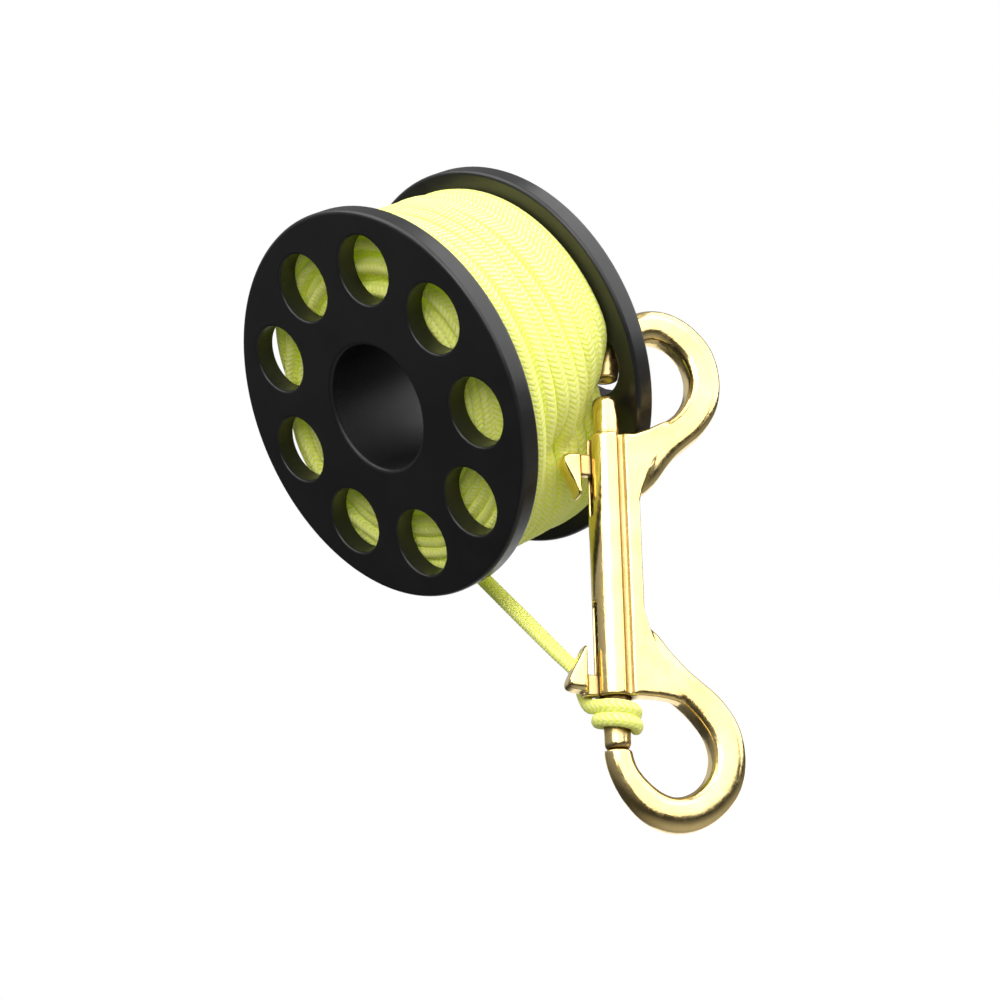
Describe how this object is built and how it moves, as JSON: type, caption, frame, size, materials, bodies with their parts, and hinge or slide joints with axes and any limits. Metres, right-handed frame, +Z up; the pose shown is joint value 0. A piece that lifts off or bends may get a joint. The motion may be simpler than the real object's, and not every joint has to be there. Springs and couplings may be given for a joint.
{
  "type": "diver's finger spool",
  "caption": "Finger spool of braided line for divers, with pierced round flanges, a finger bore and a double-ended brass bolt snap clipped to the rear flange and tied to the line.",
  "frame": {"origin": "middle of the finger bore, on the spool's axis and halfway between the outer faces of the flanges", "axes": "+Y along the spool's axis from the front flange to the rear flange that carries the snap; +Z up as the spool hangs on a finger; +X towards the side that the snap hangs on"},
  "size_m": [0.0765, 0.0606, 0.1317],
  "materials": {
    "black_plastic": "satin moulded black plastic",
    "yellow_line": "braided fluorescent yellow polyester line",
    "cast_brass": "cast brass, polished over a slightly rough casting",
    "spring_steel": "plain stainless spring wire"
  },
  "bodies": {
    "spool": {"front_spool_half": "black_plastic", "rear_spool_half": "black_plastic", "line_pack": "yellow_line", "line_run": "yellow_line"},
    "snap": {"snap_body": "cast_brass", "upper_spring": "spring_steel", "lower_spring": "spring_steel", "line_hitch": "yellow_line"},
    "upper_bolt": {"upper_bolt": "cast_brass", "upper_thumb_knob": "cast_brass"},
    "lower_bolt": {"lower_bolt": "cast_brass", "lower_thumb_knob": "cast_brass"}
  },
  "joints": [
    {"name": "snap_swing", "type": "hinge", "parent": "spool", "child": "snap", "pos_m": [0.02859, 0.0169, -0.0117], "axis": [-0.9252, 0.3275, -0.1916], "range_deg": [0, 5], "deforming": ["line_run"]},
    {"name": "upper_bolt_slide", "type": "slide", "parent": "snap", "child": "upper_bolt", "axis": [0, -0.505, -0.8631], "range_m": [0, 0.0055], "stiffness_N_per_m": 600, "springref_m": -0.0103, "deforming": ["upper_spring"]},
    {"name": "lower_bolt_slide", "type": "slide", "parent": "snap", "child": "lower_bolt", "axis": [0, 0.505, 0.8631], "range_m": [0, 0.0098], "stiffness_N_per_m": 600, "springref_m": -0.006, "deforming": ["lower_spring"]}
  ]
}
